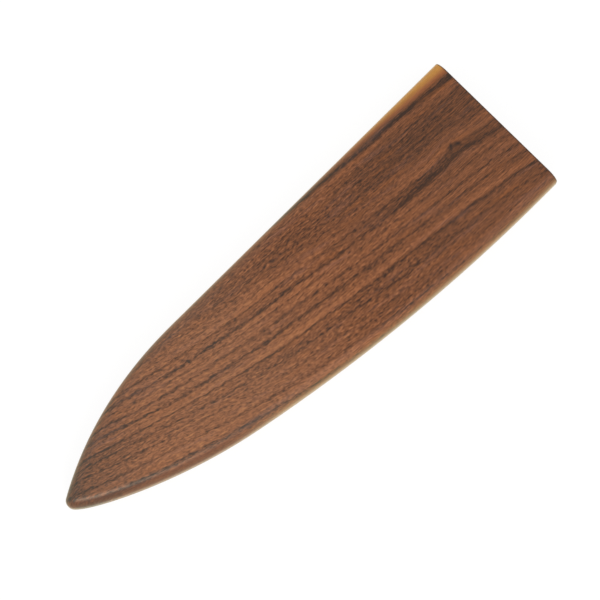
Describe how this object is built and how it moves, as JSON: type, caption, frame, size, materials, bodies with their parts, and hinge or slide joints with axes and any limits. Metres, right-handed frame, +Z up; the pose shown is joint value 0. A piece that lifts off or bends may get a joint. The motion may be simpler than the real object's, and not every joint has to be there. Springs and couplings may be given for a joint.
{
  "type": "knife blade guard",
  "caption": "Magnetic walnut sheath for a chef's knife: two boards with a blade-shaped pocket, glued together, open at the heel end.",
  "frame": {"origin": "under the middle of the guard's box, on the plane it lies on", "axes": "+X from the open mouth to the tip, +Y from the spine side to the cutting edge side, +Z up through the thickness"},
  "size_m": [0.222, 0.0658, 0.015],
  "materials": {
    "walnut": "oiled satin walnut, long grain",
    "plug_wood": "oiled walnut, end grain",
    "magnet": "bright nickel plate"
  },
  "bodies": {
    "root": {"front_half": "walnut", "back_half": "walnut", "front_magnet_1": "magnet", "front_magnet_2": "magnet", "front_magnet_3": "magnet", "front_magnet_4": "magnet", "back_magnet_1": "magnet", "back_magnet_2": "magnet", "back_magnet_3": "magnet", "back_magnet_4": "magnet", "front_plug_1": "plug_wood", "front_plug_2": "plug_wood", "front_plug_3": "plug_wood", "front_plug_4": "plug_wood", "back_plug_1": "plug_wood", "back_plug_2": "plug_wood", "back_plug_3": "plug_wood", "back_plug_4": "plug_wood"}
  },
  "joints": []
}
